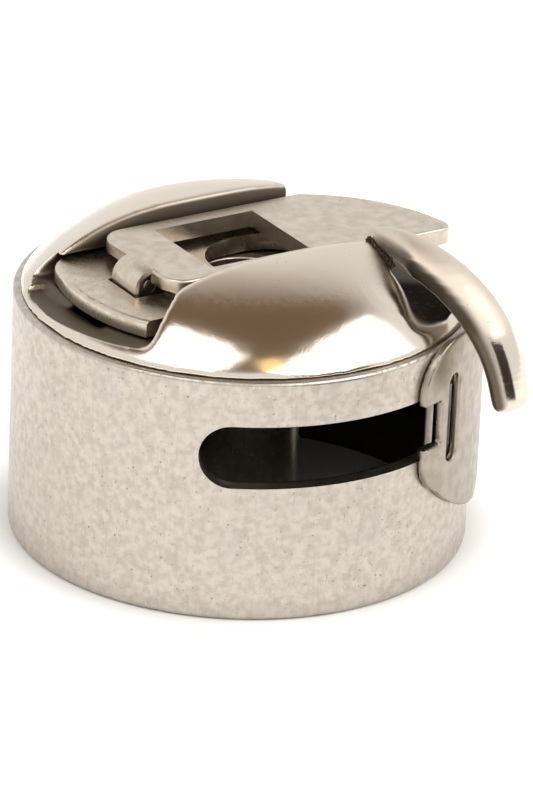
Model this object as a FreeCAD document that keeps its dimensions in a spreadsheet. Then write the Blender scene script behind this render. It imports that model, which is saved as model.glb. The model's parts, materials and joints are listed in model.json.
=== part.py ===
# Bobbin case of a front-loading sewing machine, resting on its open rim.
# The frame: Z runs up the cup's axis from the rim plane, X runs along the latch
# from its hinge to its thumb tab, and Y runs across the latch.
import FreeCAD, Part
import math
import os
import re

import Sketcher
from FreeCAD import Placement, Rotation, Vector

# Driving sizes in millimetres, angles and azimuths in degrees (azimuths about Z from X).
SIZES = [
    ("case_radius", 11.5, "outside of the cup wall"),
    ("case_wall", 0.8, "cup wall"),
    ("case_height", 12.6, "rim to the seam under the crown"),
    ("web", 0.9, "cup end wall"),
    ("rim_round", 0.3, "rounding of the rim's outer edge"),
    ("tube_bore", 2.45, "radius that runs on the hook's stud"),
    ("tube_wall", 0.5, "centre tube wall"),
    ("slot_low", 7.05, "lower edge of the wall slot"),
    ("slot_width", 3.25, "wall slot, across"),
    ("slot_from", -132.3, "azimuth of the slot's round end"),
    ("slot_to", -60.0, "azimuth of the slot's end under the leaf"),
    ("slit_width", 0.8, "thread slit"),
    ("slit_azimuth", -6.0, "where the thread slit leaves the rim"),
    ("slit_height", 8.2, "top of the thread slit"),
    ("slit_run", 20.0, "degrees that the slit runs on under the leaf"),
    ("crown_rise", 3.57, "crown over the seam"),
    ("crown_base", 0.65, "crown floor over the seam"),
    ("seam_round", 0.23, "rounding of the cup's upper edge, which the crown starts from"),
    ("crown_edge", 0.35, "rounding of the edges along the channel"),
    ("channel_half", 3.85, "half of the channel between the lips"),
    ("groove_half", 4.65, "half of the groove under the lips"),
    ("groove_height", 1.15, "groove under the lips"),
    ("thumb_inset", 6.88, "end of the crown beside the thumb tab, inside the wall's outside"),
    ("thumb_skew", -2.2, "turn of that end about Z"),
    ("thumb_hollow", 1.6, "concave foot of that end"),
    ("nose_along", 9.64, "centre of the crown's nose under the finger, inside the wall along the channel"),
    ("nose_across", 3.13, "that centre, away from the channel"),
    ("nose_round", 2.5, "radius of the nose"),
    ("nose_azimuth", -45.0, "way that the nose's last facet faces"),
    ("recess_angle", 32.0, "end wall of the recess at the slide's end, from -X"),
    ("recess_reach", 4.5, "reach of that recess back from its end wall"),
    ("recess_foot", 0.5, "concave foot of that end wall"),
    ("sill_width", 2.2, "sill, inward from the wall's outside"),
    ("sill_near", 6.0, "where the sill leaves the floor, across"),
    ("sill_height", 0.25, "sill over the seam at its far end"),
    ("cam_pocket_from", -9.3, "outer end of the cam pocket"),
    ("cam_pocket_to", -6.75, "shoulder that the cam pushes on"),
    ("cam_pocket_half", 1.5, "half width of the cam pocket"),
    ("slide_gap", 0.1, "running gap under the slide"),
    ("slide_plate", 0.85, "slide thickness"),
    ("slide_half", 4.45, "half width of the slide"),
    ("slide_inset", 2.0, "slide's outer end inside the wall's outside"),
    ("slide_far", 3.0, "where the outer end turns into the far corner"),
    ("slide_corner", 1.6, "radius of the far corner"),
    ("slide_inner", 4.9, "reach of the slide past the axis"),
    ("slide_edge", 0.25, "rounding of the slide's upper outer edge"),
    ("stud_opening", 2.6, "radius of the opening round the stud"),
    ("stud_lock", 0.6, "centre of the opening's locking end"),
    ("stud_free", 1.5, "centre of the opening's free end"),
    ("pin_radius", 0.35, "hinge pin"),
    ("pin_clearance", 0.05, "running clearance on the pin"),
    ("pin_reach", -6.3, "hinge pin along the channel"),
    ("pin_rise", 0.2, "hinge pin over the slide's plate"),
    ("lug_radius", 0.6, "hinge lugs of the slide, inside the heel"),
    ("lug_gap", 0.05, "between each lug and the heel's bearing"),
    ("lug_width", 0.3, "each lug, across"),
    ("lug_foot", 0.3, "start of each lug's foot past the pin"),
    ("lever_gap", 0.4, "between the slide's plate and the lever"),
    ("lever_plate", 0.85, "lever thickness"),
    ("lever_half", 3.6, "half width of the lever"),
    ("lever_end", -6.45, "hinge end of the lever's plate"),
    ("lever_corner", 1.2, "rounding of that end's corners"),
    ("lever_edge", 0.15, "rounding of the lever's upper edge"),
    ("heel_offset", -0.45, "middle of the heel across the channel"),
    ("heel_half", 1.1, "half width of the heel"),
    ("heel_bearing", 0.4, "half width of the heel's bearing on the pin"),
    ("heel_hollow", 0.8, "hollow of the rolled heel beside its bearing"),
    ("heel_lip", 0.55, "edge of the roll below the pin"),
    ("heel_gap", 0.25, "gap beside the heel in the slide"),
    ("heel_clear", 0.1, "gap before and behind the heel"),
    ("cam_reach", 1.6, "cam tip from the pin"),
    ("cam_angle", 55.0, "lean of the cam below the level"),
    ("cam_round", 0.25, "half thickness of the cam"),
    ("cam_half", 0.38, "half width of the cam"),
    ("window_from", -3.77, "window in the lever, hinge side"),
    ("window_to", 1.87, "window in the lever, tab side"),
    ("window_half", 2.65, "half width of the window"),
    ("tab_radius", 8.6, "sweep of the thumb tab"),
    ("tab_middle", 1.3, "centre of that sweep along the channel"),
    ("tab_shift", -4.1, "centre of that sweep across the channel"),
    ("tab_corner", 0.7, "rounding of the tab's near tip"),
    ("coil_radius", 0.55, "outside of the latch spring"),
    ("coil_wire", 0.16, "wire of the latch spring"),
    ("coil_turns", 6.0, "turns of the latch spring"),
    ("coil_seat", -6.3, "fixed end of the latch spring"),
    ("coil_slack", 0.03, "gap at each end of the latch spring"),
    ("trough_half", 0.65, "half width of the spring's trough"),
    ("trough_depth", 1.2, "trough below the crown floor"),
    ("tongue_from", -3.6, "spring side of the slide's tongue"),
    ("tongue_thick", 0.5, "slide's tongue"),
    ("tongue_half", 0.5, "half width of the tongue"),
    ("tongue_depth", 1.1, "tongue below the slide"),
    ("leaf_gap", 0.03, "between the wall and the leaf"),
    ("leaf_plate", 0.4, "tension leaf thickness"),
    ("leaf_low", 2.8, "lower edge of the leaf at its widest"),
    ("leaf_over", 0.4, "upper edge of the leaf over the seam, at its widest"),
    ("free_view", -60.0, "azimuth that faces the leaf's free end"),
    ("free_tip", 2.93, "free tip ahead of that azimuth"),
    ("free_corner", 2.53, "rounding of the free tip's upper corner"),
    ("notch_depth", 1.37, "thread notch in the free tip"),
    ("notch_low", 5.28, "lower edge of the thread notch, under the leaf's upper edge"),
    ("notch_high", 2.95, "upper edge of the thread notch, under the leaf's upper edge"),
    ("jaw_setback", 0.15, "jaw under the notch, behind the free tip"),
    ("jaw_height", 0.72, "straight front of the jaw"),
    ("jaw_chin", 1.9, "radius of the jaw's chin"),
    ("chin_back", 1.1, "chin's end behind the jaw"),
    ("chin_low", 7.8, "chin's end under the leaf's upper edge"),
    ("belly", 9.0, "radius of the lower edge behind the chin"),
    ("belly_back", 6.2, "belly's end behind the jaw"),
    ("hook_plate", 0.35, "hook of the jaw, through"),
    ("hook_sweep", 5.0, "hook of the jaw, in degrees round the wall"),
    ("hook_reach", 0.62, "hook, inward from the leaf's outside"),
    ("eye_shift", -0.5, "middle of the oblong eye from the facing azimuth"),
    ("eye_half", 0.5, "half width of the oblong eye"),
    ("eye_low", 6.05, "lower round of the oblong eye, under the leaf's upper edge"),
    ("eye_high", 2.4, "upper round of the oblong eye, under the leaf's upper edge"),
    ("root_view", 35.0, "azimuth that faces the leaf's fixed end"),
    ("root_reach", 7.85, "fixed end past that azimuth"),
    ("root_half", 2.3, "half height of the fixed end"),
    ("root_start", -5.0, "start of the fixed end, before that azimuth"),
    ("flare_view", -15.0, "azimuth that faces the middle of the leaf's flare"),
    ("flare_half", 5.6, "flare, to each side of that azimuth"),
    ("screw_height", 7.6, "screws over the rim plane"),
    ("tension_azimuth", 18.0, "tension screw"),
    ("clamp_azimuth", 62.0, "clamp screw"),
    ("screw_shank", 0.65, "radius of both shanks"),
    ("screw_clearance", 0.06, "running clearance of the shanks"),
    ("screw_seat", 0.02, "gap under the heads"),
    ("screw_setback", 0.1, "shank ends outside the wall's inner face"),
    ("tension_head", 1.6, "radius of the tension screw's head"),
    ("clamp_head", 1.3, "radius of the clamp screw's head"),
    ("head_height", 0.75, "both heads"),
    ("head_edge", 0.2, "rounding of both heads"),
    ("head_slot", 0.4, "driver slot, across and deep"),
    ("finger_azimuth", -61.0, "heading of the position finger"),
    ("finger_shift", 1.28, "its middle plane past the cup's axis, towards the tab"),
    ("finger_inset", 4.55, "where its bend starts, inside the wall's outside"),
    ("finger_rise", 3.06, "middle of its path over the crown's floor"),
    ("finger_lead", 2.85, "straight start of its path"),
    ("finger_bend", 7.45, "bend of its path"),
    ("finger_turn", 75.0, "degrees of that bend"),
    ("finger_tail", 1.5, "straight end of its path"),
    ("finger_half", 1.42, "half width of the finger"),
    ("finger_thick", 1.55, "through the finger"),
    ("finger_flank", 0.53, "flat flank of the finger"),
    ("finger_round", 0.3, "radius between its flank and its back"),
    ("finger_edge", 0.35, "rounding of its inner edges and tip"),
    ("finger_crest", 1.0, "rounding of its upper edge over the crown's end"),
    ("finger_clear", 0.05, "finger's flat beside the channel"),
    ("foot_thick", 0.9, "foot under its root, out from the crown's end"),
    ("foot_width", 1.3, "that foot, away from the channel"),
]
NAMES = {name for name, value, note in SIZES}

# Places that follow from the driving sizes.
CASE_INNER = "(case_radius - case_wall)"
WEB_LOW = "(case_height - web)"
TUBE_RADIUS = "(tube_bore + tube_wall)"
OUTSIDE = "(2 * case_radius)"
ACROSS = "(4 * case_radius)"
WITHIN = f"({CASE_INNER} - case_wall)"
FLOOR = "(case_height + crown_base)"
CROWN_TOP = "(case_height + crown_rise)"
OVER_CROWN = f"(2 * {CROWN_TOP})"
THUMB_CUT = "(case_radius - thumb_inset)"
SLIDE_LOW = f"({FLOOR} + slide_gap)"
SLIDE_TOP = f"({SLIDE_LOW} + slide_plate)"
SLIDE_END = "(case_radius - slide_inset)"
PIN_HEIGHT = f"({SLIDE_TOP} + pin_rise)"
LEVER_LOW = f"({SLIDE_TOP} + lever_gap)"
LEVER_TOP = f"({LEVER_LOW} + lever_plate)"
HEEL_RADIUS = f"({LEVER_TOP} - {PIN_HEIGHT})"
PIN_HALF = "(heel_bearing + lug_gap + lug_width)"
LEAF_INNER = "(case_radius + leaf_gap)"
LEAF_OUTER = f"({LEAF_INNER} + leaf_plate)"
LEAF_HIGH = "(case_height + leaf_over)"
LEAF_TRIM = "(4 * leaf_plate)"
SCREW_HOLE = "(screw_shank + screw_clearance)"

SAME = 1e-3
SHARP_ANGLE = math.radians(15)
NOSE_FACETS = 4

doc = FreeCAD.newDocument("bobbin_case")
sheet = doc.addObject("Spreadsheet::Sheet", "Sizes")


def fill_sheet():
    """One row for each driving size: its name, its value under that alias, and what it is."""
    for row, (name, value, note) in enumerate(SIZES, start=1):
        sheet.set(f"A{row}", name)
        sheet.set(f"B{row}", str(value))
        sheet.setAlias(f"B{row}", name)
        sheet.set(f"C{row}", note)
    doc.recompute()


def bound(text):
    """The expression with each size name pointed at its cell."""
    return re.sub(
        r"[a-z_]+", lambda word: ("Sizes." if word.group() in NAMES else "") + word.group(), text
    )


def amount(text):
    """The expression's value now."""
    value = sheet.evalExpression(bound(text))
    return float(getattr(value, "Value", value))


def near(value, text):
    """Whether the value is what the expression says."""
    return abs(value - amount(text)) < SAME


def new_body(label):
    """An empty body for one piece."""
    body = doc.addObject("PartDesign::Body", label)
    body.Label = label
    return body


def new_sketch(body, name, plane, level=None, turn=None):
    """A sketch on one of the body's own planes, turned about the cup's axis and moved along its normal."""
    sketch = body.newObject("Sketcher::SketchObject", f"{body.Name}_{name}")
    origin = next(item for item in body.Origin.OriginFeatures if item.Role == plane)
    sketch.AttachmentSupport = [(origin, "")]
    sketch.MapMode = "FlatFace"
    if turn:
        sketch.AttachmentOffset = Placement(Vector(), Rotation(Vector(0, 1, 0), amount(turn)))
        sketch.setExpression("AttachmentOffset.Rotation.Angle", bound(turn))
    if level and turn:
        sketch.setExpression("AttachmentOffset.Base.x", bound(f"({level}) * sin({turn})"))
        sketch.setExpression("AttachmentOffset.Base.z", bound(f"({level}) * cos({turn})"))
    elif level:
        sketch.setExpression("AttachmentOffset.Base.z", bound(level))
    return sketch


def hold(sketch, kind, places, text):
    """A dimension of the sketch, tied to the sheet."""
    number = sketch.addConstraint(Sketcher.Constraint(kind, *places, amount(text)))
    sketch.setExpression(f"Constraints[{number}]", bound(text))


def arc_between(start, end, radius):
    """The short arc from start to end, anticlockwise for a positive radius."""
    chord = end - start
    left = Vector(-chord.y, chord.x, 0).normalize()
    side = 1 if radius > 0 else -1
    rise = max(radius ** 2 - (chord.Length / 2) ** 2, 0) ** 0.5
    bulge = start + chord / 2 + left * side * (rise - abs(radius))
    return Part.Arc(start, bulge, end)


def draw(sketch, corners, closed=True):
    """Lines through the corners. A corner's third value is the radius of the arc that leaves it."""
    points = [Vector(amount(corner[0]), amount(corner[1]), 0) for corner in corners]
    ends = []
    spans = len(corners) if closed else len(corners) - 1
    for index in range(spans):
        start, end = points[index], points[(index + 1) % len(points)]
        if len(corners[index]) == 3:
            edge = sketch.addGeometry(arc_between(start, end, amount(corners[index][2])))
            hold(sketch, "Radius", (edge,), f"abs({corners[index][2]})")
        else:
            edge = sketch.addGeometry(Part.LineSegment(start, end))
        forward = sketch.getPoint(edge, 1).distanceToPoint(start) < SAME
        ends.append((edge, 1, 2) if forward else (edge, 2, 1))
    for index, (edge, first, last) in enumerate(ends):
        hold(sketch, "DistanceX", (-1, 1, edge, first), corners[index][0])
        hold(sketch, "DistanceY", (-1, 1, edge, first), corners[index][1])
        if index + 1 < len(ends) or closed:
            onward = ends[(index + 1) % len(ends)]
            sketch.addConstraint(Sketcher.Constraint("Coincident", edge, last, onward[0], onward[1]))
        else:
            hold(sketch, "DistanceX", (-1, 1, edge, last), corners[-1][0])
            hold(sketch, "DistanceY", (-1, 1, edge, last), corners[-1][1])


def outline(body, name, corners, plane="XY_Plane", level=None, turn=None):
    """A closed sketch through the corners."""
    sketch = new_sketch(body, name, plane, level, turn)
    draw(sketch, corners)
    return sketch


def rectangle(body, name, lows, highs, plane="XY_Plane", level=None, turn=None):
    """A closed sketch of an upright rectangle."""
    corners = [lows, (highs[0], lows[1]), highs, (lows[0], highs[1])]
    return outline(body, name, corners, plane, level, turn)


def circle(body, name, centre, radius, plane="XY_Plane", level=None, turn=None):
    """A sketch of one circle."""
    sketch = new_sketch(body, name, plane, level, turn)
    middle = Vector(amount(centre[0]), amount(centre[1]), 0)
    edge = sketch.addGeometry(Part.Circle(middle, Vector(0, 0, 1), amount(radius)))
    hold(sketch, "Radius", (edge,), radius)
    hold(sketch, "DistanceX", (-1, 1, edge, 3), centre[0])
    hold(sketch, "DistanceY", (-1, 1, edge, 3), centre[1])
    return sketch


def shape_by(kind, sketch, size=None, **settings):
    """One feature of the sketch's body, its length or angle tied to the sheet. It has to change the solid."""
    body = sketch.getParentGeoFeatureGroup()
    doc.recompute()
    before = body.Shape.Volume if body.Tip else 0.0
    feature = body.newObject(f"PartDesign::{kind}", f"{sketch.Name}_{kind.lower()}")
    feature.Profile = sketch
    turned = kind in ("Revolution", "Groove")
    if turned:
        feature.ReferenceAxis = (sketch, ["V_Axis"])
    for key, value in settings.items():
        setattr(feature, key, value)
    if size:
        feature.setExpression("Angle" if turned else "Length", bound(size))
    doc.recompute()
    grown = body.Shape.Volume - before
    removes = kind in ("Pocket", "Groove")
    if grown == 0 or removes == (grown > 0):
        raise RuntimeError(f"{feature.Name} changed nothing, or the wrong way")


def round_edges(body, name, radius, chosen):
    """A fillet on the edges of the body that the test picks."""
    tip = body.Tip
    names = [f"Edge{number}" for number, edge in enumerate(tip.Shape.Edges, start=1) if chosen(edge)]
    if not names:
        raise RuntimeError(f"{body.Name} has no edge for {name}")
    fillet = body.newObject("PartDesign::Fillet", f"{body.Name}_{name}")
    fillet.Base = (tip, names)
    fillet.setExpression("Radius", bound(radius))
    doc.recompute()


def ends_of(edge):
    """Both ends of an edge."""
    return [vertex.Point for vertex in edge.Vertexes]


def sharp(shape, edge):
    """Whether the two faces along an edge of the shape meet at an angle."""
    middle = edge.valueAt((edge.FirstParameter + edge.LastParameter) / 2)
    faces = shape.ancestorsOfType(edge, Part.Face)
    first, second = [face.normalAt(*face.Surface.parameter(middle)) for face in faces]
    return first.getAngle(second) > SHARP_ANGLE


def crowned(reach, rise, shoulder):
    """The gentle arc that a round shoulder runs into: its radius, and where the two meet.

    The arc is level at its top, over the start of the reach, and the shoulder's centre stands at the
    reach's end, the rise below that top. The meeting place is measured from the start of the reach
    and from the height of the shoulder's centre.
    """
    radius = f"(({reach}^2 + {rise}^2 - {shoulder}^2) / 2 / ({rise} - {shoulder}))"
    share = f"({radius} / ({radius} - {shoulder}))"
    return radius, f"({reach} * {share})", f"({rise} - {radius} + ({radius} - {rise}) * {share})"


def level_arc(reach, drop):
    """Radius of the arc that is level at one end and comes down by the drop over the reach."""
    return f"(({reach}^2 + {drop}^2) / 2 / {drop})"


def facing(azimuth):
    """Turn of a sketch whose normal points out along the azimuth."""
    return f"({azimuth} + 90)"


def degrees_off(across):
    """Degrees round the leaf's outside that stand for a distance across a facing sketch."""
    return f"(asin(({across}) / {LEAF_OUTER}) / 1 deg)"


def radial_hole(body, name, azimuth, height, radius):
    """A round hole out through the wall."""
    hole = circle(body, name, ("0", height), radius, "XZ_Plane", turn=facing(azimuth))
    shape_by("Pocket", hole, Type="ThroughAll", Reversed=True)


def spring_trough(body, level, depth):
    """The trough that the latch spring lies in, open to the hole for the centre tube."""
    trough = rectangle(body, "trough", ("coil_seat", "-trough_half"), ("-tube_bore", "trough_half"), level=level)
    shape_by("Pocket", trough, depth)


def make_cup():
    """The cup: wall and end wall turned in one piece, with the slot, the thread slit and the screw holes."""
    body = new_body("case_cup")
    profile = outline(body, "profile", [
        (TUBE_RADIUS, WEB_LOW),
        (CASE_INNER, WEB_LOW),
        (CASE_INNER, "0"),
        ("case_radius - rim_round", "0", "rim_round"),
        ("case_radius", "rim_round"),
        ("case_radius", "case_height - seam_round", "seam_round"),
        ("case_radius - seam_round", "case_height"),
        (TUBE_RADIUS, "case_height"),
    ], "XZ_Plane")
    shape_by("Revolution", profile)

    slot_end = "(slot_from + slot_width / 2 / case_radius * 180 / pi)"
    slot = rectangle(body, "slot", (WITHIN, "slot_low"), (OUTSIDE, "slot_low + slot_width"), "XZ_Plane",
                     turn=slot_end)
    shape_by("Groove", slot, f"slot_to - {slot_end}")
    radial_hole(body, "slot_end", slot_end, "slot_low + slot_width / 2", "slot_width / 2")

    slit = rectangle(body, "slit", ("-slit_width / 2", "-slit_width"), ("slit_width / 2", "slit_height"),
                     "XZ_Plane", turn=facing("slit_azimuth"))
    shape_by("Pocket", slit, Type="ThroughAll", Reversed=True)
    run = rectangle(body, "slit_run", (WITHIN, "slit_height - slit_width"), (OUTSIDE, "slit_height"),
                    "XZ_Plane", turn="slit_azimuth - slit_run")
    shape_by("Groove", run, "slit_run")

    radial_hole(body, "tension_hole", "tension_azimuth", "screw_height", SCREW_HOLE)
    radial_hole(body, "clamp_hole", "clamp_azimuth", "screw_height", SCREW_HOLE)
    spring_trough(body, "case_height", "trough_depth - crown_base")
    return body


def make_tube():
    """The tube that the bobbin turns on, pressed through the cup's end wall and the crown's floor."""
    body = new_body("centre_tube")
    profile = rectangle(body, "profile", ("tube_bore", "0"), (TUBE_RADIUS, FLOOR), "XZ_Plane")
    shape_by("Revolution", profile)
    return body


def make_crown():
    """The domed crown: turned, then milled for the latch, the thumb tab, the slide's end and the cam."""
    body = new_body("crown")
    edge = "(case_radius - seam_round)"
    profile = outline(body, "profile", [
        (TUBE_RADIUS, "case_height"),
        (edge, "case_height", level_arc(f"({edge} - channel_half)", "crown_rise")),
        ("channel_half", CROWN_TOP),
        (TUBE_RADIUS, CROWN_TOP),
    ], "XZ_Plane")
    shape_by("Revolution", profile)

    channel = rectangle(body, "channel", ("-channel_half", FLOOR), ("channel_half", OVER_CROWN), "YZ_Plane")
    shape_by("Pocket", channel, ACROSS, SideType="Symmetric")

    def lip(edge):
        along_channel = all(near(abs(point.y), "channel_half") for point in [edge.CenterOfMass] + ends_of(edge))
        return along_channel and edge.Curve.TypeId != "Part::GeomLine"

    round_edges(body, "lips", "crown_edge", lip)

    groove = rectangle(body, "groove", ("-groove_half", FLOOR), ("groove_half", f"{FLOOR} + groove_height"),
                       "YZ_Plane")
    shape_by("Pocket", groove, ACROSS, SideType="Symmetric")

    thumb_end = [("thumb", THUMB_CUT, "thumb_skew")]
    for facet in range(1, NOSE_FACETS + 1):
        azimuth = f"(thumb_skew + (nose_azimuth - thumb_skew) * {facet} / {NOSE_FACETS})"
        along = f"(case_radius - nose_along) * cos({azimuth})"
        across = f"(-channel_half - nose_across) * sin({azimuth})"
        reach = f"({along} + {across} + nose_round)"
        thumb_end.append((f"nose_{facet}", reach, azimuth))
    for name, reach, azimuth in thumb_end:
        cut = outline(body, name, [
            (reach, OVER_CROWN),
            (reach, f"{FLOOR} + thumb_hollow", "thumb_hollow"),
            (f"{reach} + thumb_hollow", FLOOR),
            (OUTSIDE, FLOOR),
            (OUTSIDE, OVER_CROWN),
        ], "XZ_Plane", turn=azimuth)
        shape_by("Pocket", cut, ACROSS, SideType="Symmetric")

    recess = outline(body, "recess", [
        ("0", OVER_CROWN),
        ("0", f"{FLOOR} + recess_foot", "-recess_foot"),
        ("-recess_foot", FLOOR),
        ("-recess_reach", FLOOR),
        ("-recess_reach", OVER_CROWN),
    ], "XZ_Plane", turn=facing("(recess_angle - 180)"))
    shape_by("Pocket", recess, Type="ThroughAll", Reversed=True)

    sill = outline(body, "sill", [
        ("-sill_near", FLOOR),
        ("channel_half", "case_height + sill_height"),
        ("channel_half", FLOOR),
    ], "YZ_Plane", level="sill_width - case_radius")
    shape_by("Pocket", sill, Type="ThroughAll")

    cam = rectangle(body, "cam_pocket", ("cam_pocket_from", "heel_offset - cam_pocket_half"),
                    ("cam_pocket_to", "heel_offset + cam_pocket_half"), level=FLOOR)
    shape_by("Pocket", cam, "crown_base")
    spring_trough(body, FLOOR, "crown_base")
    return body


def make_finger():
    """The position finger: a bar with a rounded back, bent down over the wall and set on the crown's end."""
    body = new_body("position_finger")
    height = f"({FLOOR} + finger_rise)"
    bend_from = "(case_radius - finger_inset)"
    root_from = f"({bend_from} - finger_lead)"
    bend_end = f"({bend_from} + finger_bend * sin(finger_turn))"
    bend_low = f"({height} - finger_bend * (1 - cos(finger_turn)))"
    path = new_sketch(body, "path", "XZ_Plane", level="-finger_shift", turn="finger_azimuth")
    draw(path, [
        (root_from, height),
        (bend_from, height, "-finger_bend"),
        (bend_end, bend_low),
        (f"{bend_end} + finger_tail * cos(finger_turn)", f"{bend_low} - finger_tail * sin(finger_turn)"),
    ], closed=False)

    inner = f"({height} - finger_thick / 2)"
    flank_top = f"({inner} + finger_flank)"
    back, meet_out, meet_up = crowned("(finger_half - finger_round)", "(finger_thick - finger_flank)", "finger_round")
    section = outline(body, "section", [
        ("finger_shift - finger_half", inner),
        ("finger_shift + finger_half", inner),
        ("finger_shift + finger_half", flank_top, "finger_round"),
        (f"finger_shift + {meet_out}", f"{flank_top} + {meet_up}", back),
        ("finger_shift", f"{inner} + finger_thick", back),
        (f"finger_shift - {meet_out}", f"{flank_top} + {meet_up}", "finger_round"),
        ("finger_shift - finger_half", flank_top),
    ], "XZ_Plane", level=root_from, turn=facing("finger_azimuth"))
    doc.recompute()
    bar = body.newObject("PartDesign::AdditivePipe", "position_finger_bar")
    bar.Profile = section
    bar.Spine = (path, ["Edge1", "Edge2", "Edge3"])
    doc.recompute()

    along = Rotation(Vector(0, 0, 1), amount("finger_azimuth")).multVec(Vector(1, 0, 0))

    def inner_or_tip(edge):
        past_root = any(point.dot(along) > amount(root_from) + SAME for point in ends_of(edge))
        return past_root and sharp(bar.Shape, edge)

    round_edges(body, "soft_edges", "finger_edge", inner_or_tip)

    foot = rectangle(body, "foot", (THUMB_CUT, f"{FLOOR} + thumb_hollow"), (f"{THUMB_CUT} + foot_thick", flank_top),
                     "XZ_Plane", level="channel_half", turn="thumb_skew")
    shape_by("Pad", foot, "foot_width")
    flat = "(channel_half + finger_clear)"
    root = outline(body, "root", [
        (f"({THUMB_CUT} + {OUTSIDE} * sin(thumb_skew)) / cos(thumb_skew)", f"-{OUTSIDE}"),
        (f"({THUMB_CUT} + {flat} * sin(thumb_skew)) / cos(thumb_skew)", f"-{flat}"),
        (OUTSIDE, f"-{flat}"),
        (OUTSIDE, OUTSIDE),
        (f"-{OUTSIDE}", OUTSIDE),
        (f"-{OUTSIDE}", f"-{OUTSIDE}"),
    ], level=OVER_CROWN)
    shape_by("Pocket", root, OVER_CROWN)

    crest = f"({inner} + finger_thick)"
    crest_round = outline(body, "crest_round", [
        (THUMB_CUT, f"{crest} - finger_crest"),
        (THUMB_CUT, OVER_CROWN),
        (f"{THUMB_CUT} + finger_crest", OVER_CROWN),
        (f"{THUMB_CUT} + finger_crest", crest, "finger_crest"),
    ], "XZ_Plane", turn="thumb_skew")
    shape_by("Pocket", crest_round, ACROSS, SideType="Symmetric")
    return body


def make_slide():
    """The slide: a plate that locks on the stud, with two hinge lugs above and a tongue for the spring below."""
    body = new_body("latch_slide")
    far_reach = f"sqrt({SLIDE_END}^2 - slide_far^2)"
    plate = outline(body, "plate", [
        ("slide_inner", "-slide_half"),
        ("slide_inner", "slide_half"),
        (f"slide_half - slide_far - {far_reach}", "slide_half", "slide_corner"),
        (f"-{far_reach}", "slide_far", SLIDE_END),
        (f"-sqrt({SLIDE_END}^2 - slide_half^2)", "-slide_half"),
    ], level=SLIDE_LOW)
    shape_by("Pad", plate, "slide_plate")

    def outer_end(edge):
        return all(near(point.z, SLIDE_TOP) and point.x < amount("pin_reach") for point in ends_of(edge))

    round_edges(body, "end_round", "slide_edge", outer_end)

    notch = rectangle(body, "notch",
                      (f"pin_reach - {HEEL_RADIUS} - heel_clear", "heel_offset - heel_half - heel_gap"),
                      (f"pin_reach + {HEEL_RADIUS} + heel_clear", "heel_offset + heel_half + heel_gap"),
                      level=SLIDE_TOP)
    shape_by("Pocket", notch, "slide_plate")
    opening = outline(body, "opening", [
        ("stud_lock", "-stud_opening"),
        ("stud_free", "-stud_opening", "stud_opening"),
        ("stud_free + stud_opening", "0", "stud_opening"),
        ("stud_free", "stud_opening"),
        ("stud_lock", "stud_opening", "stud_opening"),
        ("stud_lock - stud_opening", "0", "stud_opening"),
    ], level=SLIDE_TOP)
    shape_by("Pocket", opening, "slide_plate")

    foot_end = f"(pin_reach + {HEEL_RADIUS} + heel_clear + slide_plate / 2)"
    for side, start in (("near", "heel_bearing + lug_gap"), ("far", f"-{PIN_HALF}")):
        lug = outline(body, f"{side}_lug", [
            ("pin_reach + lug_foot", SLIDE_LOW),
            (foot_end, SLIDE_LOW),
            (foot_end, SLIDE_TOP),
            ("pin_reach + lug_radius", SLIDE_TOP),
            ("pin_reach + lug_radius", PIN_HEIGHT, "lug_radius"),
            ("pin_reach", f"{PIN_HEIGHT} + lug_radius", "lug_radius"),
            ("pin_reach - lug_radius", PIN_HEIGHT, "lug_radius"),
            ("pin_reach", f"{PIN_HEIGHT} - lug_radius"),
        ], "XZ_Plane", level=f"{start} - heel_offset")
        shape_by("Pad", lug, "lug_width")
    pin_hole = circle(body, "pin_hole", ("pin_reach", PIN_HEIGHT), "pin_radius", "XZ_Plane", level="-heel_offset")
    shape_by("Pocket", pin_hole, f"2 * {PIN_HALF}", SideType="Symmetric")

    tongue = rectangle(body, "tongue", ("tongue_from", "-tongue_half"),
                       ("tongue_from + tongue_thick", "tongue_half"), level=SLIDE_LOW)
    shape_by("Pad", tongue, "tongue_depth", Reversed=True)
    return body


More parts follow.
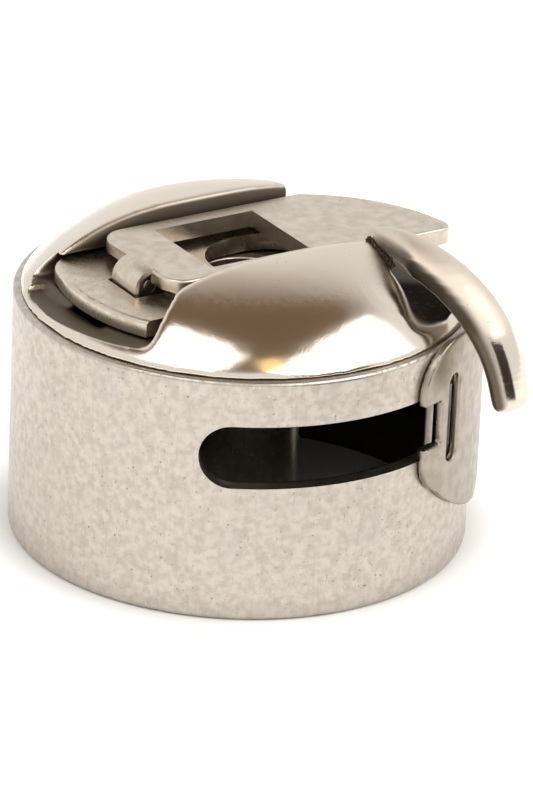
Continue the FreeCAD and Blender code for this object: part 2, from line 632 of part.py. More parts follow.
def make_lever():
    """The lever: a plate with a window and a swept thumb tab, rolled at its end into a heel with a cam."""
    body = new_body("latch_lever")
    near_tip = "(tab_middle + sqrt(tab_radius^2 - (lever_half + tab_shift)^2))"
    far_start = "(tab_middle + sqrt(tab_radius^2 - (lever_half - tab_shift)^2))"
    plate = outline(body, "plate", [
        ("lever_end + lever_corner", "-lever_half"),
        (near_tip, "-lever_half", "tab_radius"),
        (far_start, "lever_half"),
        ("lever_end + lever_corner", "lever_half", "lever_corner"),
        ("lever_end", "lever_half - lever_corner"),
        ("lever_end", "lever_corner - lever_half", "lever_corner"),
    ], level=LEVER_LOW)
    shape_by("Pad", plate, "lever_plate")

    def tip(edge):
        return all(near(point.x, near_tip) and near(point.y, "-lever_half") for point in ends_of(edge))

    round_edges(body, "tip_round", "tab_corner", tip)

    def upper_rim(edge):
        return all(near(point.z, LEVER_TOP) for point in ends_of(edge))

    round_edges(body, "rim_round", "lever_edge", upper_rim)

    window = rectangle(body, "window", ("window_from", "-window_half"), ("window_to", "window_half"),
                       level=LEVER_TOP)
    shape_by("Pocket", window, "lever_plate")

    heel = circle(body, "heel", ("pin_reach", PIN_HEIGHT), HEEL_RADIUS, "XZ_Plane",
                  level="-heel_offset - heel_half")
    shape_by("Pad", heel, "2 * heel_half")
    for side, end in (("near", "heel_half"), ("far", "-heel_half")):
        hollow = outline(body, f"{side}_hollow", [
            (f"pin_reach + sqrt(heel_hollow^2 - ({LEVER_LOW} - {PIN_HEIGHT})^2)", LEVER_LOW, "heel_hollow"),
            ("pin_reach", f"{PIN_HEIGHT} + heel_hollow", "heel_hollow"),
            ("pin_reach - sqrt(heel_hollow^2 - heel_lip^2)", f"{PIN_HEIGHT} - heel_lip"),
            (f"pin_reach - 2 * {HEEL_RADIUS}", f"{PIN_HEIGHT} - heel_lip"),
            (f"pin_reach - 2 * {HEEL_RADIUS}", f"{PIN_HEIGHT} - 2 * {HEEL_RADIUS}"),
            (f"pin_reach + 2 * {HEEL_RADIUS}", f"{PIN_HEIGHT} - 2 * {HEEL_RADIUS}"),
            (f"pin_reach + 2 * {HEEL_RADIUS}", LEVER_LOW),
        ], "XZ_Plane", level=f"{end} - heel_offset")
        shape_by("Pocket", hollow, "heel_half - heel_bearing", Reversed=side == "far")
    away = "cos(cam_angle)"
    down = "sin(cam_angle)"
    tip_away = f"(pin_reach - (cam_reach - cam_round) * {away})"
    tip_down = f"({PIN_HEIGHT} - (cam_reach - cam_round) * {down})"
    cam = outline(body, "cam", [
        (f"pin_reach - cam_round * {down}", f"{PIN_HEIGHT} + cam_round * {away}"),
        (f"{tip_away} - cam_round * {down}", f"{tip_down} + cam_round * {away}", "cam_round"),
        (f"pin_reach - cam_reach * {away}", f"{PIN_HEIGHT} - cam_reach * {down}", "cam_round"),
        (f"{tip_away} + cam_round * {down}", f"{tip_down} - cam_round * {away}"),
        (f"pin_reach + cam_round * {down}", f"{PIN_HEIGHT} - cam_round * {away}"),
    ], "XZ_Plane", level="-heel_offset - cam_half")
    shape_by("Pad", cam, "2 * cam_half")
    bore = circle(body, "bore", ("pin_reach", PIN_HEIGHT), "pin_radius + pin_clearance", "XZ_Plane")
    shape_by("Pocket", bore, ACROSS, SideType="Symmetric")
    return body


def make_pin():
    """The hinge pin, across both lugs of the slide."""
    body = new_body("latch_pin")
    section = circle(body, "section", ("pin_reach", PIN_HEIGHT), "pin_radius", "XZ_Plane", level="-heel_offset")
    shape_by("Pad", section, f"2 * {PIN_HALF}", SideType="Symmetric")
    return body


def make_coil():
    """The latch spring: a round wire coil lying in the trough between its seat and the slide's tongue."""
    length = "(tongue_from - coil_seat - 2 * coil_slack - coil_wire)"
    middle = "(coil_radius - coil_wire / 2)"
    helix = doc.addObject("Part::Helix", "latch_spring_path")
    helix.setExpression("Radius", bound(middle))
    helix.setExpression("Height", bound(length))
    helix.setExpression("Pitch", bound(f"{length} / coil_turns"))
    wire = doc.addObject("Part::Circle", "latch_spring_wire")
    wire.setExpression("Radius", bound("coil_wire / 2"))
    wire.Placement = Placement(Vector(), Rotation(Vector(1, 0, 0), 90))
    wire.setExpression("Placement.Base.x", bound(middle))
    doc.recompute()
    coil = doc.addObject("Part::Sweep", "latch_spring")
    coil.Label = "latch_spring"
    coil.Sections = [wire]
    coil.Spine = (helix, ["Edge1"])
    coil.Solid = True
    coil.Frenet = True
    coil.Placement = Placement(Vector(), Rotation(Vector(0, 1, 0), 90))
    coil.setExpression("Placement.Base.x", bound("coil_seat + coil_slack + coil_wire / 2"))
    coil.setExpression("Placement.Base.z", bound(f"{FLOOR} - trough_depth / 2"))
    doc.recompute()
    return coil


def make_leaf():
    """The tension leaf: spring strip rolled to the wall, with a notched free end, a hook and an oblong eye."""
    body = new_body("tension_spring")
    strip_from = f"(free_view - {degrees_off(f'free_tip + {LEAF_TRIM}')})"
    strip_to = f"(root_view + {degrees_off(f'root_reach + {LEAF_TRIM}')})"
    strip = rectangle(body, "strip", (LEAF_INNER, "leaf_low"), (LEAF_OUTER, LEAF_HIGH), "XZ_Plane",
                      turn=strip_from)
    shape_by("Revolution", strip, f"{strip_to} - {strip_from}")

    below = f"(leaf_low - {LEAF_TRIM})"
    above = f"({LEAF_HIGH} + {LEAF_TRIM})"
    ahead = f"(-free_tip - 2 * {LEAF_TRIM})"
    jaw = "(jaw_setback - free_tip)"
    hook_top = f"({LEAF_HIGH} - notch_low)"
    free_end = outline(body, "free_end", [
        ("free_corner - free_tip", LEAF_HIGH, "free_corner"),
        ("-free_tip", f"{LEAF_HIGH} - free_corner"),
        ("-free_tip", f"{LEAF_HIGH} - notch_high"),
        ("notch_depth - free_tip", f"{LEAF_HIGH} - notch_high"),
        ("notch_depth - free_tip", hook_top),
        (jaw, hook_top),
        (jaw, f"{hook_top} - jaw_height", "jaw_chin"),
        (f"{jaw} + chin_back", f"{LEAF_HIGH} - chin_low", "belly"),
        (f"{jaw} + belly_back", "leaf_low"),
        (f"{jaw} + belly_back", below),
        (ahead, below),
        (ahead, above),
        ("free_corner - free_tip", above),
    ], "XZ_Plane", turn=facing("free_view"))
    shape_by("Pocket", free_end, Type="ThroughAll", Reversed=True)

    beyond = f"(root_reach + 2 * {LEAF_TRIM})"
    straight_to = "(root_reach - root_half)"
    root_low = "(screw_height - root_half)"
    root_high = "(screw_height + root_half)"
    fixed_end = outline(body, "fixed_end", [
        ("root_start", root_high),
        (straight_to, root_high, "-root_half"),
        ("root_reach", "screw_height", "-root_half"),
        (straight_to, root_low),
        ("root_start", root_low),
        ("root_start", below),
        (beyond, below),
        (beyond, above),
        ("root_start", above),
    ], "XZ_Plane", turn=facing("root_view"))
    shape_by("Pocket", fixed_end, Type="ThroughAll", Reversed=True)
    upper_flare = outline(body, "upper_flare", [
        ("-flare_half", LEAF_HIGH, level_arc("(2 * flare_half)", f"({LEAF_HIGH} - {root_high})")),
        ("flare_half", root_high),
        ("flare_half", above),
        ("-flare_half", above),
    ], "XZ_Plane", turn=facing("flare_view"))
    shape_by("Pocket", upper_flare, Type="ThroughAll", Reversed=True)
    lower_flare = outline(body, "lower_flare", [
        ("flare_half", root_low, level_arc("(2 * flare_half)", f"({root_low} - leaf_low)")),
        ("-flare_half", "leaf_low"),
        ("-flare_half", below),
        ("flare_half", below),
    ], "XZ_Plane", turn=facing("flare_view"))
    shape_by("Pocket", lower_flare, Type="ThroughAll", Reversed=True)

    eye_foot = f"({LEAF_HIGH} - eye_low)"
    eye_head = f"({LEAF_HIGH} - eye_high)"
    eye = outline(body, "eye", [
        ("eye_shift + eye_half", eye_foot),
        ("eye_shift + eye_half", eye_head, "eye_half"),
        ("eye_shift", f"{eye_head} + eye_half", "eye_half"),
        ("eye_shift - eye_half", eye_head),
        ("eye_shift - eye_half", eye_foot, "eye_half"),
        ("eye_shift", f"{eye_foot} - eye_half", "eye_half"),
    ], "XZ_Plane", turn=facing("free_view"))
    shape_by("Pocket", eye, Type="ThroughAll", Reversed=True)
    radial_hole(body, "tension_hole", "tension_azimuth", "screw_height", SCREW_HOLE)
    radial_hole(body, "clamp_hole", "clamp_azimuth", "screw_height", SCREW_HOLE)

    hook = rectangle(body, "hook", (f"{LEAF_OUTER} - hook_reach", f"{hook_top} - hook_plate"),
                     (LEAF_OUTER, hook_top), "XZ_Plane", turn=f"(free_view + {degrees_off(jaw)})")
    shape_by("Revolution", hook, "hook_sweep")
    return body


def make_screw(label, azimuth, head):
    """A slotted screw through the leaf into the wall, head outward."""
    body = new_body(label)
    seat = f"({LEAF_OUTER} + screw_seat)"
    crest = f"({seat} + head_height)"
    turn = facing(azimuth)
    cap = circle(body, "head", ("0", "screw_height"), head, "XZ_Plane", level=seat, turn=turn)
    shape_by("Pad", cap, "head_height")
    out = Rotation(Vector(0, 0, 1), amount(azimuth)).multVec(Vector(1, 0, 0))

    def outer_rim(edge):
        return near(edge.CenterOfMass.dot(out), crest)

    round_edges(body, "head_round", "head_edge", outer_rim)
    shank = circle(body, "shank", ("0", "screw_height"), "screw_shank", "XZ_Plane", level=seat, turn=turn)
    shape_by("Pad", shank, f"{seat} - {CASE_INNER} - screw_setback", Reversed=True)
    slot = rectangle(body, "driver_slot", (f"-2 * {head}", "screw_height - head_slot / 2"),
                     (f"2 * {head}", "screw_height + head_slot / 2"), "XZ_Plane", level=crest, turn=turn)
    shape_by("Pocket", slot, "head_slot")
    return body


def check(pieces):
    """Nothing failed, and each piece is one valid solid."""
    failed = [item.Name for item in doc.Objects if {"Invalid", "Error"} & set(item.State)]
    for piece in pieces:
        shape = piece.Shape
        if shape.isNull() or not shape.isValid() or len(shape.Solids) != 1:
            failed.append(piece.Label)
    if failed:
        raise RuntimeError(f"not sound: {failed}")


fill_sheet()
PIECES = [
    make_cup(),
    make_tube(),
    make_crown(),
    make_finger(),
    make_slide(),
    make_lever(),
    make_pin(),
    make_coil(),
    make_leaf(),
    make_screw("tension_screw", "tension_azimuth", "tension_head"),
    make_screw("clamp_screw", "clamp_azimuth", "clamp_head"),
]
doc.recompute()
check(PIECES)
os.makedirs("parts", exist_ok=True)
for piece in PIECES:
    piece.Shape.exportStep(f"parts/{piece.Label}.step")
    print(f"{piece.Label}: {piece.Shape.Volume:.3f} mm3")
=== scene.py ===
# %% [markdown]
# # A bobbin case, dressed
#
# The object is the small steel case that holds the bobbin in a front-loading sewing machine. Its solids
# come finished from the CAD frame, at their real size. This lesson keeps their shapes, softens the edges
# that a tumbling barrel softens on the real thing, gives every piece its metal, and lights it for a product
# photograph.

# %% Load the frame
import json
import math

import bpy
from mathutils import Matrix, Vector


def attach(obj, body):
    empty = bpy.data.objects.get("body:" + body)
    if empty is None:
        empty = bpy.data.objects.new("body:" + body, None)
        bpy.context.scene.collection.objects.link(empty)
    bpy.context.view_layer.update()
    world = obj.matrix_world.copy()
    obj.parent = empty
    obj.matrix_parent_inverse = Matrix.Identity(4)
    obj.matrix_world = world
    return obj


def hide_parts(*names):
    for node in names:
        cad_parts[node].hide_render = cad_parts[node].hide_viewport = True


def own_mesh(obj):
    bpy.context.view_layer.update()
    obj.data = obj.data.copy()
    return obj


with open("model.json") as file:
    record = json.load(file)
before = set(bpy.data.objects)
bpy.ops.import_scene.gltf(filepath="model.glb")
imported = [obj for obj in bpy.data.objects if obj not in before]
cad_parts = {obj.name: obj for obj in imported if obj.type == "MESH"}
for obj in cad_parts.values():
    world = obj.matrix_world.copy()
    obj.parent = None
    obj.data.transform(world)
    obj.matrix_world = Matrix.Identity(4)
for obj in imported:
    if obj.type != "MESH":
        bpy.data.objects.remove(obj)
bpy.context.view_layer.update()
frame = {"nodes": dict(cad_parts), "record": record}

MM = 0.001
RECORD = frame["record"]
NODE_BODY = {node: body for body, nodes in RECORD["behaviour"]["bodies"].items() for node in nodes}

# %% [markdown]
# ## The camera
#
# The photograph looks down on the case from about 24 degrees, from far enough away that a long lens fills
# the frame. The camera could be placed by eye, but a direction, a distance and a small roll say the same
# thing in numbers that can be measured. The aim is a little beside and below the middle of the case, because
# the photograph has it left of the middle of its frame.

# %% Camera
CASE_MIDDLE = Vector((0, 0, 8 * MM))
CAMERA_AZIMUTH = -122.88
CAMERA_ELEVATION = 24.14
CAMERA_ROLL = 2.45
CAMERA_DISTANCE = 277.5
CAMERA_LENS = 251.3
AIM_RIGHT = 1.20
AIM_UP = -1.30


def heading(azimuth, elevation):
    """The unit vector that points along an azimuth and an elevation in degrees."""
    turn = math.radians(azimuth)
    lift = math.radians(elevation)
    return Vector((math.cos(turn) * math.cos(lift), math.sin(turn) * math.cos(lift), math.sin(lift)))


def make_camera():
    """The photograph's camera."""
    outward = heading(CAMERA_AZIMUTH, CAMERA_ELEVATION)
    roll = Matrix.Rotation(math.radians(CAMERA_ROLL), 3, "Z")
    turn = outward.to_track_quat("Z", "Y").to_matrix() @ roll
    aim = CASE_MIDDLE + turn @ Vector((AIM_RIGHT * MM, AIM_UP * MM, 0))
    data = bpy.data.cameras.new("camera")
    data.lens = CAMERA_LENS
    camera = bpy.data.objects.new("camera", data)
    camera.matrix_world = Matrix.Translation(aim + outward * CAMERA_DISTANCE * MM) @ turn.to_4x4()
    bpy.context.collection.objects.link(camera)
    bpy.context.scene.camera = camera
    return camera


camera = make_camera()
print("the camera stands", round(camera.location.length / MM), "mm from the case's origin")

# %% [markdown]
# ## Edges
#
# A stamped or turned steel piece never has a knife edge: it is deburred and tumbled, and the small round
# that is left catches a bright line of light. A Bevel modifier could round every edge at once, but it would
# also catch on the facets of the cup's rounded shoulder. So each CAD node is copied, its loose triangles
# are merged, the shoulder is hidden, and a narrow bevel goes on the sharp edges in edit mode. A bevel needs
# clean faces beside the edge, which the plates, the cup and the screws have. The coil's wire is round and
# gets none. The widths are in millimetres. The copy then stands for its node.

# %% Dressing a node
SHARP = math.radians(38)
LEVEL = math.radians(0.5)
MERGE = 0.0005
BEVEL_STEPS = 2
CUP_SHOULDER = 12.2
EDGES = {
    "case_cup": 0.07,
    "centre_tube": 0.08,
    "latch_slide": 0.12,
    "latch_pin": 0.05,
    "latch_lever": 0.06,
    "latch_spring": 0,
    "tension_screw": 0.04,
    "clamp_screw": 0.04,
}


def only(piece):
    """Selects one object alone and makes it the active one."""
    bpy.ops.object.select_all(action="DESELECT")
    piece.select_set(True)
    bpy.context.view_layer.objects.active = piece


def copy_of(node):
    """A merged copy of a CAD node, to dress."""
    piece = frame["nodes"][node].copy()
    piece.data = frame["nodes"][node].data.copy()
    piece.name = f"{node}_finished"
    bpy.context.collection.objects.link(piece)
    only(piece)
    bpy.ops.object.mode_set(mode="EDIT")
    bpy.ops.mesh.select_all(action="SELECT")
    bpy.ops.mesh.remove_doubles(threshold=MERGE * MM)
    bpy.ops.object.mode_set(mode="OBJECT")
    return piece


def apply_modifier(piece, kind, **settings):
    """Adds one modifier to the piece, with its settings, and applies it."""
    only(piece)
    modifier = piece.modifiers.new(kind.lower(), kind)
    for name, value in settings.items():
        setattr(modifier, name, value)
    bpy.ops.object.modifier_apply(modifier=modifier.name)


def stand_for(piece, node):
    """The dressed piece moves with its node's body and takes its place."""
    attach(piece, NODE_BODY[node])
    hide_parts(node)
    return piece


def choose(piece, chosen):
    """Goes to edit mode with those points selected whose place, in mm, the function chooses."""
    only(piece)
    bpy.ops.object.mode_set(mode="EDIT")
    bpy.ops.mesh.select_mode(type="VERT")
    bpy.ops.mesh.select_all(action="DESELECT")
    bpy.ops.object.mode_set(mode="OBJECT")
    for vertex in piece.data.vertices:
        vertex.select = chosen(vertex.co / MM)
    bpy.ops.object.mode_set(mode="EDIT")


def dressed(node, edge):
    """A copy of a CAD node with its sharp edges rounded to the given width in mm, if there is one."""
    piece = copy_of(node)
    if edge:
        choose(piece, lambda spot: node == "case_cup" and spot.z > CUP_SHOULDER)
        bpy.ops.mesh.hide()
        bpy.ops.mesh.select_all(action="SELECT")
        bpy.ops.mesh.dissolve_limited(angle_limit=LEVEL)
        bpy.ops.mesh.select_all(action="DESELECT")
        bpy.ops.mesh.select_mode(type="EDGE")
        bpy.ops.mesh.edges_select_sharp(sharpness=SHARP)
        bpy.ops.mesh.bevel(offset=edge * MM, segments=BEVEL_STEPS, affect="EDGES", clamp_overlap=True)
        bpy.ops.mesh.reveal(select=False)
        bpy.ops.object.mode_set(mode="OBJECT")
    bpy.ops.object.shade_smooth_by_angle(angle=SHARP)
    apply_modifier(piece, "WEIGHTED_NORMAL", keep_sharp=True)
    return stand_for(piece, node)


pieces = {node: dressed(node, edge) for node, edge in EDGES.items()}
for node, piece in pieces.items():
    print(f"{node}: {len(piece.data.polygons)} faces")

# %% [markdown]
# ## The pieces that are worn soft
#
# The crown and the finger are polished by hand and the leaf is drawn over a mandrel, so none of them has a
# clean edge. A bevel would keep the flats between the edges. Remeshing the copy into small even cells and
# relaxing them pulls every edge round instead, and relaxing one place for longer rounds it more: the
# finger's tip turns into a bulb, and the crown's nose beside the finger into a soft shoulder. The finger is
# relaxed in many small steps up to its root and down to its tip, because one step would end in a crease.
# Relaxing pulls outer edges in, so the pieces stay inside their solids there. Each piece has the size of its
# cells in millimetres and its rounds of relaxing, and the nose its rounds within each radius.

# %% Crown, leaf and finger
SOFT = {"crown": (0.12, 8), "tension_spring": (0.08, 3), "position_finger": (0.07, 60)}
RELAX_SHARE = 0.5
NOSE = Vector((4.2, -7.7, 14.6))
NOSE_ROUNDS = {2.6: 20, 1.9: 30}
SEAM_HEIGHT = 12.6
SEAM_MARGIN = 0.3
SEAM_ROUNDS = 16
ROOT_HEIGHTS = (14.6, 15.0, 15.4, 15.8, 16.2)
ROOT_ROUNDS = 25
TIP_HEIGHTS = (12.8, 12.5, 12.2, 11.9, 11.6, 11.3, 11.0)
TIP_ROUNDS = 12


def relax(piece, chosen, rounds):
    """Smooths the part of the piece whose points, in mm, are chosen by the function."""
    choose(piece, chosen)
    bpy.ops.mesh.vertices_smooth(factor=RELAX_SHARE, repeat=rounds)
    bpy.ops.object.mode_set(mode="OBJECT")


def softened(node, cell, rounds):
    """A copy of a CAD node in even cells of the given size in mm, relaxed so that it has no sharp edge."""
    piece = copy_of(node)
    apply_modifier(piece, "REMESH", mode="VOXEL", voxel_size=cell * MM)
    relax(piece, lambda spot: True, rounds)
    bpy.ops.object.shade_smooth()
    return stand_for(piece, node)


for node, (cell, rounds) in SOFT.items():
    pieces[node] = softened(node, cell, rounds)
for radius, rounds in NOSE_ROUNDS.items():
    relax(pieces["crown"], lambda spot: (spot - NOSE).length < radius, rounds)
relax(pieces["crown"], lambda spot: spot.z < SEAM_HEIGHT + SEAM_MARGIN, SEAM_ROUNDS)
for height in ROOT_HEIGHTS:
    relax(pieces["position_finger"], lambda spot: spot.z > height, ROOT_ROUNDS)
for height in TIP_HEIGHTS:
    relax(pieces["position_finger"], lambda spot: spot.z < height, TIP_ROUNDS)
for node in SOFT:
    print(f"{node}: {len(pieces[node].data.polygons)} faces")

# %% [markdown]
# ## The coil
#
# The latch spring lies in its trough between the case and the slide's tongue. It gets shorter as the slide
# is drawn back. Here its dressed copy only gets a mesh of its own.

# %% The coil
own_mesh(pieces["latch_spring"])

# %% [markdown]
# ## Residue in the crease
#
# Where the finger's root meets the crown's end the polishing wheel can't reach, and compound stays behind as
# a rough dark crust. A stain in the shader would stay flat. A thin tube along the crease, with its points
# shaken at random, stands up in small crumbs and casts the ragged shadow that the photograph shows.

# %% The crust
CREASE = [
    (4.45, -3.98, 15.93),
    (4.43, -4.6, 15.83),
    (4.41, -5.2, 15.69),
    (4.38, -5.8, 15.53),
    (4.36, -6.3, 15.37),
]
CRUST_RADIUS = 0.12
CRUST_SHAKE = 0.09
CRUST_MERGE = 0.001


def make_crust():
    """A rough bead along the crease between the crown's end and the finger's root."""
    bpy.ops.object.select_all(action="DESELECT")
    bpy.ops.curve.primitive_nurbs_path_add(location=(0, 0, 0))
    path = bpy.context.active_object
    for point, place in zip(path.data.splines[0].points, CREASE):
        point.co = [part * MM for part in place] + [1.0]
    path.data.bevel_depth = CRUST_RADIUS * MM
    path.data.bevel_resolution = 3
    path.data.resolution_u = 24
    path.data.use_fill_caps = True
    bpy.ops.object.convert(target="MESH")
    crust = bpy.context.active_object
    crust.name = "crease_crust"
    bpy.ops.object.mode_set(mode="EDIT")
    bpy.ops.mesh.select_all(action="SELECT")
    bpy.ops.mesh.remove_doubles(threshold=CRUST_MERGE * MM)
    bpy.ops.mesh.subdivide(number_cuts=1)
    bpy.ops.transform.vertex_random(offset=CRUST_SHAKE * MM, uniform=0.3, normal=0.8, seed=5)
    bpy.ops.mesh.normals_make_consistent(inside=False)
    bpy.ops.object.mode_set(mode="OBJECT")
    bpy.ops.object.shade_smooth()
    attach(crust, "case")
    return crust


crust = make_crust()
print("crust:", len(crust.data.polygons), "faces")

# %% [markdown]
# ## Metals
#
# Every piece is nickel-plated steel, and what differs is how each was worked before plating. A finish could
# be painted as a picture, but noises with grains in millimetres give clouds, pits and marks at their real
# size from every side. One function turns a sRGB hex value to the linear colour that the shader needs, and
# one adds a node with its settings and links. The others are steps that all finishes share: the scale of a
# grain, the layers of a colour, and the shader at the start and at the end. A layer's range has four
# numbers: the values where it starts and ends, and its share of the colour at each. Tumbling leaves a grain
# of some hundredths of a millimetre, which is too fine to show here, so the grains are drawn coarser.

# %% Helpers for materials
SMOOTH = {"interpolation_type": "SMOOTHSTEP"}
COLOURS = {"data_type": "RGBA", "out": 2}


def linear(code):
    """The linear colour of a sRGB hex value."""
    shares = [int(code[place:place + 2], 16) / 255 for place in (1, 3, 5)]
    return [part / 12.92 if part <= 0.04045 else ((part + 0.055) / 1.055) ** 2.4 for part in shares] + [1.0]


def add(tree, kind, inputs=(), out=0, **settings):
    """Adds a node and gives one output. An input is a value, a hex colour or the output of another node."""
    node = tree.nodes.new(f"ShaderNode{kind}")
    for name, value in settings.items():
        setattr(node, name, value)
    for name, value in inputs.items() if isinstance(inputs, dict) else enumerate(inputs):
        if isinstance(value, bpy.types.NodeSocket):
            tree.links.new(value, node.inputs[name])
        else:
            node.inputs[name].default_value = linear(value) if isinstance(value, str) else value
    return node.outputs[out] if node.outputs else node


def per_metre(size):
    """The scale of a noise whose grains are about the given size in mm."""
    return 1 / (size * MM)


def layered(tree, colour, layers):
    """A colour under layers, each with the value that places it, its range and its own colour."""
    for value, reach, tint in layers:
        amount = add(tree, "MapRange", [value, *reach], **SMOOTH)
        colour = add(tree, "Mix", {0: amount, 6: colour, 7: tint}, **COLOURS)
    return colour


def new_metal(name):
    """A material with a metallic shader, its tree, its shader and the object's own coordinates in metres."""
    material = bpy.data.materials.new(name)
    material.use_nodes = True
    tree = material.node_tree
    shader = tree.nodes["Principled BSDF"]
    shader.inputs["Metallic"].default_value = 1.0
    return material, tree, shader, add(tree, "TexCoord", out="Object")


def finish_metal(tree, shader, colour, roughness, grain, depth):
    """Joins colour, roughness and a fine relief, its depth in mm, to the shader."""
    relief = add(tree, "Bump", {"Strength": 1.0, "Distance": depth * MM, "Height": grain})
    for name, source in (("Base Color", colour), ("Roughness", roughness), ("Normal", relief)):
        tree.links.new(source, shader.inputs[name])


print("white is", linear("#ffffff"), "in the shader")

# %% [markdown]
# ### Painted shade in the hollow
#
# The hollow under the finger is darkened with painted shade, on the cup's end wall as on the crown's end.
# Dark metal would still shine there at a flat angle, so the painted shade also turns the metal to a rough,
# dull film. It fades with the distance from the middle of the hollow, in a ragged edge.

# %% Painted shade in the hollow
HOLLOW = (5.5, -6.6, 13.8)
HOLLOW_DARK = 2.3
HOLLOW_CLEAR = 3.4
HOLLOW_SHADE_TONE = "#1c140c"
HOLLOW_SHADE_SHINE = 0.1
HOLLOW_SHADE_ROUGHNESS = 0.55
HOLLOW_SHADE_GRAIN = 0.4
HOLLOW_SHADE_RAGGED = (0.2, 0.5, 0.8, 1.0)


def painted_hollow_shade(tree, shader, place, where, colour, roughness):
    """Colour and roughness, darkened with painted shade in the hollow wherever the given share says."""
    hollow = [part * MM for part in HOLLOW]
    far = add(tree, "VectorMath", [place, hollow], out="Value", operation="DISTANCE")
    near = add(tree, "MapRange", [far, HOLLOW_CLEAR * MM, HOLLOW_DARK * MM, 0, 1], **SMOOTH)
    grain = add(tree, "TexNoise", {"Vector": place, "Scale": per_metre(HOLLOW_SHADE_GRAIN), "Detail": 4.0})
    ragged = add(tree, "MapRange", [grain, *HOLLOW_SHADE_RAGGED], **SMOOTH)
    painted_shade = add(tree, "Math", [near, where], operation="MULTIPLY")
    painted_shade = add(tree, "Math", [painted_shade, ragged], operation="MULTIPLY")
    metal = add(tree, "MapRange", [painted_shade, 0, 1, 1, 0], **SMOOTH)
    tree.links.new(metal, shader.inputs["Metallic"])
    shader.inputs["Specular IOR Level"].default_value = HOLLOW_SHADE_SHINE
    # Painted shade: the hollow's colour turns to a near-black brown.
    colour = add(tree, "Mix", {0: painted_shade, 6: colour, 7: HOLLOW_SHADE_TONE}, **COLOURS)
    return colour, add(tree, "Math", [painted_shade, HOLLOW_SHADE_ROUGHNESS, roughness], operation="MULTIPLY_ADD")


print("the stain fades out", HOLLOW_CLEAR, "mm from the middle of the hollow")

# %% [markdown]
# ### Satin nickel
#
# The cup and its tube are turned, tumbled and plated. The plating is cloudy: warm and cool blotches of up to
# a millimetre, faint upright marks from handling, dark pits and pale specks. Inside the cup the colour is
# painted dark as painted shade, so the slot shows almost black. The inside could be a material of its own,
# but then its faces would have to be picked. Distance from the axis tells it from the outside.

# %% Satin nickel
CUP_INSIDE = 10.72
CUP_OUTSIDE = 10.82
CLOUD_GRAIN = 0.4
CLOUDS = (0.32, 0.68, 0.0, 1.0)
COOL_GRAIN = 1.0
COOL = (0.46, 0.70, 0.0, 0.3)
MARK_GRAIN = (0.12, 0.12, 1.44)
MARKS = (0.56, 0.78, 0.0, 0.3)
PIT_GRAIN = 0.15
PITS = (0.31, 0.25, 0.0, 0.7)
SPECKS = (0.70, 0.76, 0.0, 0.6)
SATIN_ROUGHNESS = (0.3, 0.7, 0.38, 0.28)
PIT_RELIEF = (0.25, 0.36, 0.0, 1.0)
PIT_DEPTH = 0.012


def off_axis(tree, place):
    """Distance from the cup's axis in metres."""
    flat = add(tree, "VectorMath", [place, (1, 1, 0)], operation="MULTIPLY")
    return add(tree, "VectorMath", [flat], out="Value", operation="LENGTH")


def satin_nickel(name, light, dark, inside=None):
    """Cloudy satin plating, with pits and specks, and a painted shade inside where one is given."""
    material, tree, shader, place = new_metal(name)
    cloud = add(tree, "TexNoise", {"Vector": place, "Scale": per_metre(CLOUD_GRAIN), "Detail": 8.0})
    cool = add(tree, "TexNoise", {"Vector": place, "Scale": per_metre(COOL_GRAIN), "Detail": 7.0})
    upright = add(tree, "Mapping", {"Vector": place, "Scale": [per_metre(size) for size in MARK_GRAIN]})
    mark = add(tree, "TexNoise", {"Vector": upright, "Scale": 1.0, "Detail": 3.0})
    pit = add(tree, "TexNoise", {"Vector": place, "Scale": per_metre(PIT_GRAIN), "Detail": 2.0})
    colour = layered(tree, dark, [
        (cloud, CLOUDS, light),
        (cool, COOL, "#b7b5b3"),
        (mark, MARKS, "#9a8e80"),
        (pit, PITS, "#6f6252"),
        (pit, SPECKS, "#ded8ce"),
    ])
    roughness = add(tree, "MapRange", [cloud, *SATIN_ROUGHNESS], **SMOOTH)
    if inside:
        wall = [off_axis(tree, place), CUP_OUTSIDE * MM, CUP_INSIDE * MM, 0, 1]
        within = add(tree, "MapRange", wall, **SMOOTH)
        # Painted shade: the inside of the cup takes a dark colour.
        colour = add(tree, "Mix", {0: within, 6: colour, 7: inside}, **COLOURS)
        colour, roughness = painted_hollow_shade(tree, shader, place, within, colour, roughness)
    relief = add(tree, "MapRange", [pit, *PIT_RELIEF], **SMOOTH)
    finish_metal(tree, shader, colour, roughness, relief, PIT_DEPTH)
    return material


FINISHES = {
    "case_cup": satin_nickel("satin_nickel", light="#c7bfb5", dark="#b7aea4", inside="#5a534b"),
    "centre_tube": satin_nickel("tube_nickel", light="#d3c7b7", dark="#c4b8a8"),
}
print("satin nickel for", ", ".join(FINISHES))

# %% [markdown]
# ### Polished nickel
#
# The crown and the finger are buffed on a wheel. It reaches the shoulders, which shine like a mirror, and
# only skims the tops, which stay matt and lighter. Height above the rim tells one from the other, a little
# waved so that no line shows. What the mill cut below the dome, and the finger's flank beside it, are out of
# the wheel's reach and stay dull, and their colour is painted much darker as painted shade in these cuts,
# the pockets' floors and the flank. The depth below the dome's arc finds the milled faces without picking
# them one by one, and the way a face looks finds the flank and the pockets' floors.

